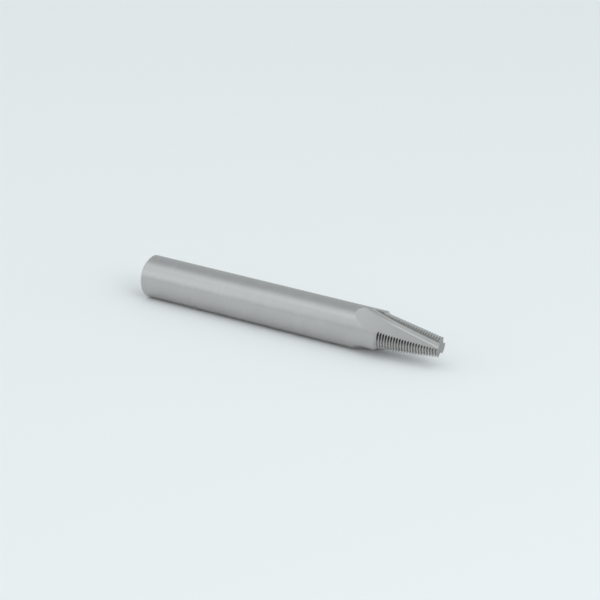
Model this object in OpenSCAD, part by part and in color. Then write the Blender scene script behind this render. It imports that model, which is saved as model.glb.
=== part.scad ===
// Thread mill ground from one piece of solid carbide: a round shank, and a tapered head whose straight flutes
// leave three lands with rows of teeth. Millimetres, standing on the shank end with the tip up.

/* [Shank] */
// Diameter of the ground shank
shank_d = 8; // [7.6:0.2:16]
// Chamfer on the clamped end of the shank
end_chamfer = 0.5; // [0.1:0.1:1]
// Length over all, from the shank end to the tip
total_len = 60; // [45:1:100]

/* [Teeth] */
// Number of grooves along a land
rows = 22; // [14:1:28]
// Distance from groove to groove
pitch = 0.5; // [0.4:0.05:0.6]
// Angle between the two flanks of a groove
flank_angle = 60; // [50:1:70]
// Flat on each crest
crest_flat = 0.06; // [0.02:0.01:0.1]
// Flat at the bottom of each groove
root_flat = 0.06; // [0.02:0.01:0.1]

/* [Tapered head] */
// Diameter over the cutting edges where the teeth begin, next to the shank
large_d = 7.44; // [6.8:0.02:7.5]
// Diameter over the cutting edges at the tip
tip_d = 3.76; // [3.4:0.02:5]
// Plain band on each land behind the first groove
plain_band = 0.1; // [0.05:0.05:0.4]
// Lean of the shoulder behind that band, from square to the axis
shoulder_lean = 30; // [5:1:45]

/* [Flutes] */
// Number of flutes, and of lands between them
flutes = 3; // [2:1:4]
// Depth of the flute corner below the cutting edge
flute_depth = 1.25; // [0.9:0.05:1.35]
// Angle between the rake face and the back face of a flute
flute_angle = 95; // [91:1:105]
// Radius in the corner of a flute
flute_fillet = 0.8; // [0.3:0.05:1]
// Rise of the flute floor along the taper, from the tool axis
floor_angle = 9.5; // [7:0.5:11]
// Slant of the flutes across the tool axis
shear_angle = 8; // [0:0.5:10]
// Distance from the tip at which the rake face is radial
radial_from_tip = 3.8; // [2:0.1:6]
// Distance from the tip at which a flute starts to lift out of the shank
runout_from_tip = 8.2; // [7:0.1:12]
// Radius of that lift, the radius of the grinding wheel
wheel_r = 38; // [25:1:80]

/* [Relief] */
// Offset of the axis about which a land is ground, from the tool axis
relief_offset = 0.12; // [0.04:0.02:0.3]
// Angle of that offset ahead of the rake face
relief_lead = 50; // [30:1:70]

/* [Hidden] */
$fn = 96;
shank_r = shank_d / 2;
toothed_len = rows * pitch;
toothed_z = total_len - toothed_len;
shoulder_z = toothed_z - plain_band;
// Slope of the crest line, and its radius at a height
slope = (large_d - tip_d) / 2 / toothed_len;
function crest_r(z) = tip_d / 2 + slope * (total_len - z);
// Depth of a groove, and its reach from its middle towards the shank and towards the tip, on the taper
flank = tan(flank_angle / 2);
groove_depth = (pitch - crest_flat - root_flat) / 2 / flank;
groove_half = (pitch - crest_flat) / 2;
groove_back = groove_half / (1 - slope * flank);
groove_front = groove_half / (1 + slope * flank);
// Spacing of the lands, the angle ahead of a rake face at which one land's grinding ends, and the gap to the next
land_pitch = 360 / flutes;
land_end = land_pitch / 6;
land_gap = 4;
// Radius by which the offset axis draws a land in, and the room that the grinding takes around the blank
relief_draw = relief_offset * cos(relief_lead);
room = 1;
ring_r = shank_d + room;
// A flute's own frame sits on the tool axis where the rake face is radial
radial_z = total_len - radial_from_tip;
corner_x = crest_r(radial_z) - flute_depth;
// Turn of the lift until it is clear of the shank, and the angle by which it laps the straight part of the flute
runout_turn = acos(1 - shank_r / wheel_r);
runout_lap = 1;
back_lean = tan(flute_angle - 90);
fillet_reach = flute_fillet / tan(flute_angle / 2);
fillet_steps = 12;

// Turned blank: chamfered end, round shank, and a plain taper with stock left over the teeth
module blank() {
    rotate_extrude()
        polygon([
            [0, 0],
            [shank_r - end_chamfer, 0],
            [shank_r, end_chamfer],
            [shank_r, toothed_z],
            [crest_r(total_len) + relief_offset, total_len],
            [0, total_len]
        ]);
}

// Section of a flute from its corner: the rake face along x, the back face leaning away from y
function flute_section() = [
    [shank_d, 0],
    for (step = [0 : fillet_steps])
        let (a = -90 - step * (180 - flute_angle) / fillet_steps)
            [fillet_reach + flute_fillet * cos(a), flute_fillet + flute_fillet * sin(a)],
    [-shank_d * back_lean, shank_d],
    [shank_d, shank_d]
];

// One flute: straight up the taper to the tip, and lifted out of the shank on the wheel's radius
module flute() {
    translate([0, 0, radial_z])
        rotate([-shear_angle, 0, 0])
            rotate([0, -floor_angle, 0])
                translate([corner_x, 0, radial_from_tip - runout_from_tip]) {
                    linear_extrude(runout_from_tip + room)
                        polygon(flute_section());
                    translate([wheel_r, 0, 0])
                        rotate([90, 0, 180])
                            rotate(-runout_turn)
                                rotate_extrude(angle = runout_turn + runout_lap)
                                    polygon([for (p = flute_section()) [wheel_r - p[0], p[1]]]);
                }
}

// One groove, as points on the crest line and at its bottom
function groove(z) = [
    [crest_r(z - groove_back), z - groove_back],
    [crest_r(z) - groove_depth, z - root_flat / 2],
    [crest_r(z) - groove_depth, z + root_flat / 2],
    [crest_r(z + groove_front), z + groove_front]
];

// Outline of a land: down the shoulder, along the plain band and the grooves, and on past the tip
shoulder_rise = (shank_r + room - crest_r(shoulder_z)) * tan(shoulder_lean);
function land_outline() = [
    [shank_r + room, shoulder_z - shoulder_rise],
    [crest_r(shoulder_z), shoulder_z],
    for (row = [rows - 1 : -1 : 0])
        for (p = groove(total_len - (row + 0.5) * pitch)) p,
    [crest_r(total_len + room), total_len + room]
];

// Stock ground off one land: a sector of a ring about the land's own axis, which relieves it behind its edge
module land_stock() {
    sector = land_pitch - land_gap;
    reach = 3 * ring_r;
    bottom_z = shoulder_z - shoulder_rise;
    intersection() {
        rotate(relief_lead)
            translate([relief_offset, 0, 0])
                rotate_extrude()
                    polygon(concat(
                        [for (p = land_outline()) [p[0] - relief_draw, p[1]]],
                        [[ring_r, total_len + room], [ring_r, bottom_z]]
                    ));
        rotate(land_end - sector)
            translate([0, 0, bottom_z - room])
                linear_extrude(total_len - bottom_z + 3 * room)
                    polygon([
                        [0, 0],
                        [reach, 0],
                        [reach * cos(sector / 2), reach * sin(sector / 2)],
                        [reach * cos(sector), reach * sin(sector)]
                    ]);
    }
}

// The whole tool: the flutes are ground into the blank, then the teeth into its lands
module thread_mill() {
    color("silver")
        difference() {
            difference() {
                blank();
                for (i = [0 : flutes - 1])
                    rotate(i * land_pitch) flute();
            }
            for (i = [0 : flutes - 1])
                rotate(i * land_pitch) land_stock();
        }
}

thread_mill();
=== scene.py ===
import math

import bpy
from mathutils import Matrix, Vector


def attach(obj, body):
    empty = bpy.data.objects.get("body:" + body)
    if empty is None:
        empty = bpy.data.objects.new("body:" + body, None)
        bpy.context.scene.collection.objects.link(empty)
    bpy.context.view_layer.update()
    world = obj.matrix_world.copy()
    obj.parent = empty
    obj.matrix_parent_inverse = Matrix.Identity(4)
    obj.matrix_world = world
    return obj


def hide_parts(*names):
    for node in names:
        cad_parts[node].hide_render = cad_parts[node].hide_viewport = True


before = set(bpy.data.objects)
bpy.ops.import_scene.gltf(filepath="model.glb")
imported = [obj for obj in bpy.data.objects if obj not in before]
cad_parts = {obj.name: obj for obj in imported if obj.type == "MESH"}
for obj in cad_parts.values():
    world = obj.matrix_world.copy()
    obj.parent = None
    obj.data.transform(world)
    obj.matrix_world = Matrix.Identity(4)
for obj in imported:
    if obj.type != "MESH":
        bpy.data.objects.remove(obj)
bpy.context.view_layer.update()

# Metres in a millimetre
MM = 0.001

# Sizes of the tool in millimetres and degrees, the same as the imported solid's
TOOL_SIZES = {
    "Shank Radius": 4.0,
    "Length": 60.0,
    "End Chamfer": 0.5,
    "Rows": 22,
    "Pitch": 0.5,
    "Flank Angle": 60.0,
    "Crest Flat": 0.06,
    "Root Flat": 0.06,
    "Large Radius": 3.72,
    "Tip Radius": 1.88,
    "Plain Band": 0.1,
    "Shoulder Lean": 30.0,
    "Flutes": 3,
    "Flute Depth": 1.25,
    "Flute Angle": 95.0,
    "Flute Fillet": 0.8,
    "Floor Angle": 9.5,
    "Shear Angle": 8.0,
    "Radial From Tip": 3.8,
    "Runout From Tip": 8.2,
    "Wheel Radius": 38.0,
    "Relief Offset": 0.12,
    "Relief Lead": 50.0,
    "Room": 1.0,
}
# Steps of the round shapes
TURN_STEPS = 240
LAND_STEPS = 96
FILLET_STEPS = 16
LIFT_STEPS = 40
# Points of the blank that lie nearer than this are one, in millimetres
WELD = 0.0001
# Angle of a land's grinding ahead of its rake face, and the gap to the next land's, in degrees
LAND_END = 20.0
LAND_GAP = 4.0
# Faces that meet at more than this angle keep a sharp edge, in degrees
SHARP_ANGLE = 24.0

# Marks on the faces that tell which wheel ground each, with none on the round faces
GROUND_NAME = "ground_by"
BY_FLUTE_WHEEL, BY_FORM_WHEEL, BY_CUP_WHEEL = 1.0, 2.0, 3.0

# Tone of the carbide and its tint, and what the wheel marks and clouds add to the tone
TONE = 0.45
TONE_TINT = (1.035, 1.01, 0.99)
MARK_TONE = 0.03
CLOUD_TONE = 0.05
# Roughness outside the flutes and in them, and what the marks and clouds add to it
ROUGHNESS = 0.2
FLUTE_ROUGHNESS = 0.15
UNEVEN_ROUGHNESS = 0.06
# Wheel marks to a metre across the tool and along it, outside the flutes and in them
MARKS_ACROSS = (120.0, 22000.0)
MARKS_ALONG = (26000.0, 260.0)
# Depth of the wheel marks in metres, and how strongly they show
MARK_DEPTH = 0.00001
MARK_STRENGTH = 0.25
# Clouds to a metre
CLOUDS = 420.0
# Painted shade at the root of a groove, most of it towards the heel of a land, and a painted highlight on a
# crest, as shares of the tone
ROOT_PAINTED_SHADE = 0.03
HEEL_PAINTED_SHADE = 0.72
CREST_PAINTED_HIGHLIGHT = 0.15
# Painted shade on the end faces, as a share of the tone
END_PAINTED_SHADE = 0.43
# Fades of the painted shade and highlight: round the tool from one land to the next, and from a crest to a
# root
HEEL_SHADE_FADE = (0.34, 0.56)
ROOT_SHADE_FADE = (0.1, 0.75)
CREST_HIGHLIGHT_FADE = (0.05, 0.3)

# Camera: focal length in pixels of a 600 pixel picture, and the tool's place before it in millimetres,
# x to the right, y down and z away from the lens
PICTURE = 600
FOCAL_PIXELS = 1700.0
SENSOR = 36.0
SHANK_END = Vector((-28.386, -4.755, 322.991))
LEAN_TO_LENS = math.radians(24.29)
FALL_IN_PICTURE = math.radians(13.77)
TURN_OF_TOOL = math.radians(42.5)
# Height of the camera above the surface that the tool lies on
LOOK_DOWN = math.radians(22.0)

# Surface that the tool lies on: half of its width in metres, and its colour
FLOOR_HALF = 1.2
FLOOR_COLOUR = (0.895, 0.888, 0.893, 1.0)

# Turn of the lights round the tool, and their colour
LIGHT_TURN = math.radians(-9.5)
LIGHT_TINT = (0.925, 1.0, 1.015)
# Key light: width and distance in metres, power in watts, and direction
SOFTBOX_SIZE = 0.3
SOFTBOX_FAR = 0.6
SOFTBOX_POWER = 0.66
SOFTBOX_SIDE = (0.55, 0.35, 0.76)
# Pale room: its level behind the tool, and what it gains or loses in other directions
BACK_LEVEL = 0.64
OVERHEAD_GAIN = 0.43
OVERHEAD_TILT = 0.45
FRONT_LOSS = 0.275
TIP_SIDE_LOSS = 0.25
GAP_LOSS = 0.22
SHANK_SIDE_GAIN = 0.52
WINDOW_GAIN = 0.34
WINDOW_SIDE = (0.93, 0.3, -0.19)


class Wire:
    """A socket of a node tree: sums on it add Math nodes, and node() adds any other node."""

    def __init__(self, tree, socket=None):
        self.tree = tree
        self.socket = socket

    def node(self, kind, settings=None, inputs=None, out=0):
        made = self.tree.nodes.new(kind)
        for name, value in (settings or {}).items():
            if name == "items":
                while len(made.index_switch_items) < value:
                    made.index_switch_items.new()
            else:
                setattr(made, name, value)
        for key, value in (inputs or {}).items():
            for one in value if isinstance(value, list) else [value]:
                if isinstance(one, Wire):
                    self.tree.links.new(one.socket, made.inputs[key])
                else:
                    made.inputs[key].default_value = one
        return Wire(self.tree, made.outputs[out])

    def math(self, operation, *values):
        return self.node("ShaderNodeMath", {"operation": operation}, dict(enumerate(values)))

    def __add__(self, other):
        return self.math("ADD", self, other)

    def __sub__(self, other):
        return self.math("SUBTRACT", self, other)

    def __rsub__(self, other):
        return self.math("SUBTRACT", other, self)

    def __mul__(self, other):
        return self.math("MULTIPLY", self, other)

    def __truediv__(self, other):
        return self.math("DIVIDE", self, other)

    def __rtruediv__(self, other):
        return self.math("DIVIDE", other, self)

    def __neg__(self):
        return self.math("MULTIPLY", self, -1.0)

    __radd__ = __add__
    __rmul__ = __mul__

    def sin(self):
        return self.math("SINE", self)

    def cos(self):
        return self.math("COSINE", self)

    def tan(self):
        return self.math("TANGENT", self)

    def arccos(self):
        return self.math("ARCCOSINE", self)

    def arctan2(self, other):
        return self.math("ARCTAN2", self, other)

    def radians(self):
        return self.math("RADIANS", self)

    def floor(self):
        return self.math("FLOOR", self)

    def fraction(self):
        return self.math("FRACT", self)

    def absolute(self):
        return self.math("ABSOLUTE", self)

    def least(self, other):
        return self.math("MINIMUM", self, other)

    def most(self, other):
        return self.math("MAXIMUM", self, other)

    def above(self, value):
        return self.math("GREATER_THAN", self, value)

    def is_about(self, value):
        return self.math("COMPARE", self, value, 0.5)

    def blend(self, low, high):
        return low + (high - low) * self

    def rise(self, start, end):
        return self.node(
            "ShaderNodeMapRange", {"interpolation_type": "SMOOTHSTEP"},
            {"Value": self, "From Min": start, "From Max": end},
        )

    def band(self, rising, falling):
        return self.rise(*rising) - self.rise(*falling)

    def dot(self, direction):
        return self.node("ShaderNodeVectorMath", {"operation": "DOT_PRODUCT"}, {0: self, 1: direction}, 1)


def ground_tool_tree(material):
    """Geometry tree of the tool: a turned blank, flutes swept along a wheel's path, and form-ground lands."""
    tree = bpy.data.node_groups.new("ground_tool", "GeometryNodeTree")
    for name, value in TOOL_SIZES.items():
        kind = "NodeSocketInt" if isinstance(value, int) else "NodeSocketFloat"
        tree.interface.new_socket(name, in_out="INPUT", socket_type=kind)
    tree.interface.new_socket("Geometry", in_out="OUTPUT", socket_type="NodeSocketGeometry")
    entry = tree.nodes.new("NodeGroupInput")
    size = {name: Wire(tree, entry.outputs[name]) for name in TOOL_SIZES}
    t = Wire(tree)
    index = t.node("GeometryNodeInputIndex")

    def pick(which, values):
        inputs = {0: which, **{place + 1: value for place, value in enumerate(values)}}
        return t.node("GeometryNodeIndexSwitch", {"data_type": "FLOAT", "items": len(values)}, inputs)

    def vector(x, y, z):
        return t.node("ShaderNodeCombineXYZ", {}, {0: x, 1: y, 2: z})

    def polyline(count, x, y, z=0.0, closed=False):
        spots = t.node("GeometryNodePoints", {}, {"Count": count, "Position": vector(x, y, z)})
        line = t.node("GeometryNodePointsToCurves", {}, {"Points": spots})
        return t.node("GeometryNodeSetSplineCyclic", {}, {"Geometry": line, "Cyclic": closed})

    def sweep(path, profile, capped):
        return t.node(
            "GeometryNodeCurveToMesh", {},
            {"Curve": path, "Profile Curve": profile, "Fill Caps": capped},
        )

    def turned_out(mesh):
        return t.node("GeometryNodeFlipFaces", {}, {"Mesh": mesh})

    def marked(mesh, value):
        return t.node(
            "GeometryNodeStoreNamedAttribute",
            {"data_type": "FLOAT", "domain": "FACE"},
            {"Geometry": mesh, "Name": GROUND_NAME, "Value": value},
        )

    def moved(mesh, place=(0.0, 0.0, 0.0), turn=(0.0, 0.0, 0.0)):
        return t.node(
            "GeometryNodeTransform", {},
            {"Geometry": mesh, "Translation": place, "Rotation": turn},
        )

    def around(mesh):
        spots = t.node("GeometryNodePoints", {}, {"Count": size["Flutes"]})
        turn = vector(0.0, 0.0, index * (2 * math.pi / size["Flutes"]))
        return t.node(
            "GeometryNodeInstanceOnPoints", {},
            {"Points": spots, "Instance": mesh, "Rotation": turn},
        )

    # Taper of the crests and form of a groove
    shank_r, length, room = size["Shank Radius"], size["Length"], size["Room"]
    toothed = size["Rows"] * size["Pitch"]
    toothed_z = length - toothed
    shoulder_z = toothed_z - size["Plain Band"]
    slope = (size["Large Radius"] - size["Tip Radius"]) / toothed

    def crest(z):
        return size["Tip Radius"] + slope * (length - z)

    flank = (size["Flank Angle"] / 2).radians().tan()
    groove_depth = (size["Pitch"] - size["Crest Flat"] - size["Root Flat"]) / 2 / flank
    groove_half = (size["Pitch"] - size["Crest Flat"]) / 2
    groove_back = groove_half / (1 - slope * flank)
    groove_front = groove_half / (1 + slope * flank)

    # Blank: half of its outline, turned round the axis and welded at both poles, with its flat ends marked
    offset = size["Relief Offset"]
    chamfer = size["End Chamfer"]
    blank_r = pick(index, [0.0, shank_r - chamfer, shank_r, shank_r, size["Tip Radius"] + offset, 0.0])
    blank_z = pick(index, [0.0, 0.0, chamfer, toothed_z, length, length])
    circle = t.node(
        "GeometryNodeCurvePrimitiveCircle", {"mode": "RADIUS"},
        {"Resolution": TURN_STEPS, "Radius": shank_r},
    )
    blank = turned_out(sweep(circle, polyline(6, blank_r - shank_r, -blank_z), False))
    blank = t.node("GeometryNodeMergeByDistance", {}, {"Geometry": blank, "Distance": WELD})
    facing_z = t.node("ShaderNodeSeparateXYZ", {}, {0: t.node("GeometryNodeInputNormal")}, 2)
    blank = marked(blank, BY_CUP_WHEEL * (facing_z * facing_z).above(0.9))

    # Flute: its section swept down the taper and lifted out of the shank on the wheel's radius
    wheel_r, fillet = size["Wheel Radius"], size["Flute Fillet"]
    opening = size["Flute Angle"].radians()
    turn = math.pi - opening
    reach = 2 * shank_r
    fillet_reach = fillet / (opening / 2).tan()
    part = index.least(1.0) + (index - (FILLET_STEPS + 1)).most(0.0)
    swing = -math.pi / 2 - (index - 1.0) / FILLET_STEPS * turn
    section_x = pick(part, [reach, fillet_reach + fillet * swing.cos(), -reach / turn.tan(), reach])
    section_y = pick(part, [0.0, fillet + fillet * swing.sin(), reach, reach])
    section = polyline(FILLET_STEPS + 4, section_y, -section_x, closed=True)
    lift = (1 - shank_r / wheel_r).arccos() * (1 - index / LIFT_STEPS).most(0.0)
    beyond = (index - LIFT_STEPS).most(0.0) * (size["Runout From Tip"] + room)
    path = polyline(LIFT_STEPS + 2, wheel_r - wheel_r * lift.cos(), 0.0, beyond - wheel_r * lift.sin())
    radial_z = length - size["Radial From Tip"]
    corner_x = crest(radial_z) - size["Flute Depth"]
    start = vector(corner_x, 0.0, size["Radial From Tip"] - size["Runout From Tip"])
    flute = moved(turned_out(sweep(path, section, True)), start)
    flute = moved(flute, turn=vector(0.0, -size["Floor Angle"].radians(), 0.0))
    flute = moved(flute, vector(0.0, 0.0, radial_z), vector(-size["Shear Angle"].radians(), 0.0, 0.0))

    # Stock off a land: a grooved outline swept about an axis that is set off from the tool's
    lead = size["Relief Lead"].radians()
    land_pitch = 2 * math.pi / size["Flutes"]
    rise = (shank_r + room - crest(shoulder_z)) * size["Shoulder Lean"].radians().tan()
    ring_r = reach + room
    groove_points = size["Rows"] * 4
    part = index.least(2.0) + (index - groove_points - 1.0).most(0.0)
    row = ((index - 2.0) / 4.0).floor()
    corner = index - 2.0 - row * 4.0
    groove_z = toothed_z + (row + 0.5) * size["Pitch"]
    half_root = size["Root Flat"] / 2
    point_z = groove_z + pick(corner, [-groove_back, -half_root, half_root, groove_front])
    point_r = pick(corner, [crest(point_z), *[crest(groove_z) - groove_depth] * 2, crest(point_z)])
    top_z = length + room
    low_z = shoulder_z - rise
    land_r = pick(part, [shank_r + room, crest(shoulder_z), point_r, crest(top_z), ring_r, ring_r])
    land_z = pick(part, [low_z, shoulder_z, point_z, top_z, top_z, low_z])
    draw = offset * lead.cos()
    outline = polyline(groove_points + 5, land_r - draw - shank_r, -land_z, closed=True)
    sector = land_pitch - math.radians(LAND_GAP)
    arc = t.node(
        "GeometryNodeCurveArc", {"mode": "RADIUS"},
        {
            "Resolution": LAND_STEPS,
            "Radius": shank_r,
            "Start Angle": math.radians(LAND_END) - sector,
            "Sweep Angle": sector,
        },
    )
    land = moved(sweep(arc, outline, True), vector(draw, offset * lead.sin(), 0.0))

    # Grinding: flutes and land stock come off the blank
    ground_off = [around(marked(flute, BY_FLUTE_WHEEL)), around(marked(land, BY_FORM_WHEEL))]
    tool = t.node(
        "GeometryNodeMeshBoolean", {"operation": "DIFFERENCE", "solver": "MANIFOLD"},
        {"Mesh 1": blank, "Mesh 2": ground_off},
    )
    tool = t.node("GeometryNodeTransform", {}, {"Geometry": tool, "Scale": (MM, MM, MM)})
    tool = t.node("GeometryNodeRealizeInstances", {}, {"Geometry": tool})
    tool = t.node("GeometryNodeSetMaterial", {}, {"Geometry": tool, "Material": material})
    leave = tree.nodes.new("NodeGroupOutput")
    tree.links.new(tool.socket, leave.inputs[0])
    return tree


def sharpen_between_marks(mesh):
    """Every edge between faces that were ground in different ways is sharp."""
    marks = [mark.value for mark in mesh.attributes[GROUND_NAME].data]
    beside = [set() for _ in mesh.edges]
    for face in mesh.polygons:
        for loop in face.loop_indices:
            beside[mesh.loops[loop].edge_index].add(marks[face.index])
    for edge, found in zip(mesh.edges, beside):
        edge.use_edge_sharp = edge.use_edge_sharp or len(found) > 1


def grown(name, tree, values):
    """Object whose plain mesh is what a geometry tree makes from these values."""
    piece = bpy.data.objects.new(name, bpy.data.meshes.new(name))
    bpy.context.scene.collection.objects.link(piece)
    modifier = piece.modifiers.new("grow", "NODES")
    modifier.node_group = tree
    for item in tree.interface.items_tree:
        if item.in_out == "INPUT" and item.name in values:
            modifier[item.identifier] = values[item.name]
    seen = piece.evaluated_get(bpy.context.evaluated_depsgraph_get())
    mesh = bpy.data.meshes.new_from_object(seen)
    piece.modifiers.clear()
    piece.data = mesh
    mesh.name = name
    mesh.shade_smooth()
    mesh.set_sharp_from_angle(angle=math.radians(SHARP_ANGLE))
    sharpen_between_marks(mesh)
    return piece


def ground_carbide():
    """Satin ground carbide: fine wheel marks that follow each grinding, slightly uneven sheen, painted shade
    in the grooves and on the end faces, and a painted highlight on the crests.
    """
    material = bpy.data.materials.new("ground_carbide")
    material.use_nodes = True
    tree = material.node_tree
    shader = tree.nodes["Principled BSDF"]
    t = Wire(tree)
    place = t.node("ShaderNodeTexCoord", {}, {}, 3)
    ground_by = t.node("ShaderNodeAttribute", {"attribute_name": GROUND_NAME}, {}, 2)
    by_flute = ground_by.is_about(BY_FLUTE_WHEEL)

    # Wheel marks: round the tool on the shank and lands, along it in the flutes
    across = by_flute.blend(*MARKS_ACROSS)
    stretch = t.node("ShaderNodeCombineXYZ", {}, {0: across, 1: across, 2: by_flute.blend(*MARKS_ALONG)})
    drawn = t.node("ShaderNodeVectorMath", {"operation": "MULTIPLY"}, {0: place, 1: stretch})
    marks = t.node("ShaderNodeTexNoise", {}, {"Vector": drawn, "Scale": 1.0, "Detail": 4.0, "Roughness": 0.6})
    clouds = t.node("ShaderNodeTexNoise", {}, {"Vector": place, "Scale": CLOUDS, "Detail": 3.0})

    # Painted shade in the grooves, deepest at their roots and towards the heel of a land, and a painted
    # highlight on the crests
    right, back, high = [t.node("ShaderNodeSeparateXYZ", {}, {0: place}, out) for out in range(3)]
    turns = (TOOL_SIZES["Length"] * MM - high) / (TOOL_SIZES["Pitch"] * MM)
    depth = 1 - 2 * (turns.fraction() - 0.5).absolute()
    toothed = ground_by.is_about(BY_FORM_WHEEL) * (1 - turns.above(float(TOOL_SIZES["Rows"])))
    land_pitch = 2 * math.pi / TOOL_SIZES["Flutes"]
    swing = (back.arctan2(right) - math.radians(LAND_END)) / land_pitch
    heel_shade_mask = 1 - swing.fraction().rise(*HEEL_SHADE_FADE)
    root = (ROOT_PAINTED_SHADE + HEEL_PAINTED_SHADE * heel_shade_mask) * depth.rise(*ROOT_SHADE_FADE)
    # Painted shade in the grooves, less a painted highlight on the crests
    painted_light = toothed * (root - CREST_PAINTED_HIGHLIGHT * (1 - depth.rise(*CREST_HIGHLIGHT_FADE)))
    # Painted shade on the end faces
    painted_light = painted_light + END_PAINTED_SHADE * ground_by.is_about(BY_CUP_WHEEL)

    # Tone, sheen and relief
    tone = (TONE + MARK_TONE * marks + CLOUD_TONE * clouds) * (1 - painted_light)
    tints = {channel: tone * tint for channel, tint in enumerate(TONE_TINT)}
    colour = t.node("ShaderNodeCombineColor", {}, tints)
    roughness = by_flute.blend(ROUGHNESS, FLUTE_ROUGHNESS) + UNEVEN_ROUGHNESS * (marks + clouds)
    bump = t.node("ShaderNodeBump", {}, {"Strength": MARK_STRENGTH, "Distance": MARK_DEPTH, "Height": marks})
    for key, wire in (("Base Color", colour), ("Roughness", roughness), ("Normal", bump)):
        tree.links.new(wire.socket, shader.inputs[key])
    shader.inputs["Metallic"].default_value = 1.0
    return material


def pale_floor():
    """Pale matt surface that is seen from its front only."""
    material = bpy.data.materials.new("pale_surface")
    material.use_nodes = True
    tree = material.node_tree
    tree.nodes.remove(tree.nodes["Principled BSDF"])
    t = Wire(tree)
    matt = t.node("ShaderNodeBsdfDiffuse", {}, {"Color": FLOOR_COLOUR})
    clear = t.node("ShaderNodeBsdfTransparent")
    behind = t.node("ShaderNodeNewGeometry", {}, {}, 6)
    both = t.node("ShaderNodeMixShader", {}, {0: behind, 1: matt, 2: clear})
    tree.links.new(both.socket, tree.nodes["Material Output"].inputs["Surface"])
    return material


# The tool's frame before the camera: along its axis, up in the picture, and towards the lens
axis = Vector((
    math.cos(LEAN_TO_LENS) * math.cos(FALL_IN_PICTURE),
    math.cos(LEAN_TO_LENS) * math.sin(FALL_IN_PICTURE),
    -math.sin(LEAN_TO_LENS),
))
towards = -(SHANK_END - axis * SHANK_END.dot(axis)).normalized()
upward = towards.cross(axis)
side_x = math.cos(TURN_OF_TOOL) * upward + math.sin(TURN_OF_TOOL) * towards
side_y = math.cos(TURN_OF_TOOL) * towards - math.sin(TURN_OF_TOOL) * upward
to_lens = Matrix((side_x, side_y, axis)).transposed().to_4x4()
to_lens.translation = SHANK_END * MM
to_lens = Matrix.Diagonal((1.0, -1.0, -1.0, 1.0)) @ to_lens

camera_data = bpy.data.cameras.new("camera")
camera_data.sensor_width = SENSOR
camera_data.lens = FOCAL_PIXELS / PICTURE * SENSOR
camera_data.clip_start = 0.01
camera_data.clip_end = 10.0
camera = bpy.data.objects.new("camera", camera_data)
bpy.context.scene.collection.objects.link(camera)
camera.matrix_world = to_lens.inverted()
bpy.context.scene.camera = camera

# The tool
tool = grown("ground_tool", ground_tool_tree(ground_carbide()), TOOL_SIZES)
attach(tool, "root")
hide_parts("thread_mill")

# Surface that the shank lies on in the picture
floor_turn = LOOK_DOWN - TURN_OF_TOOL
floor_normal = Vector((math.cos(floor_turn), math.sin(floor_turn), 0.0))
middle = Vector((0.0, 0.0, TOOL_SIZES["Length"] / 2 * MM))
floor_spot = middle - floor_normal * TOOL_SIZES["Shank Radius"] * MM
floor_mesh = bpy.data.meshes.new("floor")
corners = [(x * FLOOR_HALF, y * FLOOR_HALF, 0.0) for x, y in ((-1, -1), (1, -1), (1, 1), (-1, 1))]
floor_mesh.from_pydata(corners, [], [(0, 1, 2, 3)])
floor_mesh.materials.append(pale_floor())
floor = bpy.data.objects.new("floor", floor_mesh)
bpy.context.scene.collection.objects.link(floor)
floor_lean = floor_normal.to_track_quat("Z", "Y").to_matrix().to_4x4()
floor.matrix_world = Matrix.Translation(floor_spot) @ floor_lean

# Directions by which the lights are set: overhead, towards the camera, and along the tool to its tip
overhead = Vector((math.cos(LIGHT_TURN), math.sin(LIGHT_TURN), 0.0))
front = Vector((-overhead.y, overhead.x, 0.0))
along = Vector((0.0, 0.0, 1.0))


def way_to(side):
    """Direction that lies these shares overhead, towards the camera and along the tool."""
    return (side[0] * overhead + side[1] * front + side[2] * along).normalized()


def room_level(way):
    """Brightness of the pale room by direction: darker behind, brightest overhead, and dimmer in front."""
    to_front = way.dot(front)
    to_tip = way.dot(along)
    from_floor = way.dot(floor_normal)
    from_back = (to_front + OVERHEAD_TILT * to_tip).rise(-0.645, -0.085)
    level = BACK_LEVEL + OVERHEAD_GAIN * from_back - FRONT_LOSS * to_front.rise(0.15, 1.0)

    # Dimmer in front of the head, and in a gap overhead that the run-out of a flute mirrors
    tip_side = to_front.rise(0.0, 0.4) * to_tip.band((-0.36, -0.16), (0.0, 0.3))
    gap = to_front.band((-0.34, -0.12), (0.15, 0.45)) * to_tip.band((-0.16, -0.04), (0.12, 0.3))
    level = level * (1 - TIP_SIDE_LOSS * tip_side) * (1 - GAP_LOSS * gap)

    # Lighter in front of the shank, and in a soft window overhead that the corner of a flute mirrors
    shank_side = to_front.rise(0.3, 0.7) * (-to_tip).rise(0.3, 0.6) * from_floor.rise(0.0, 0.35)
    window = way.dot(way_to(WINDOW_SIDE)).rise(0.965, 0.998)
    return level * (1 + SHANK_SIDE_GAIN * shank_side) + WINDOW_GAIN * window


# Key light: a softbox high in front, on the side of the tip
softbox_data = bpy.data.lights.new("softbox", "AREA")
softbox_data.shape = "SQUARE"
softbox_data.size = SOFTBOX_SIZE
softbox_data.energy = SOFTBOX_POWER
softbox_data.color = LIGHT_TINT
softbox = bpy.data.objects.new("softbox", softbox_data)
bpy.context.scene.collection.objects.link(softbox)
softbox_way = way_to(SOFTBOX_SIDE)
softbox.location = middle + softbox_way * SOFTBOX_FAR
softbox.rotation_euler = softbox_way.to_track_quat("Z", "Y").to_euler()

# Pale room all round
world = bpy.data.worlds.new("pale_room")
bpy.context.scene.world = world
world.use_nodes = True
level = room_level(Wire(world.node_tree).node("ShaderNodeTexCoord"))
room_light = world.node_tree.nodes["Background"]
room_light.inputs["Color"].default_value = (*LIGHT_TINT, 1.0)
world.node_tree.links.new(level.socket, room_light.inputs["Strength"])

bpy.context.scene.view_settings.view_transform = "Standard"
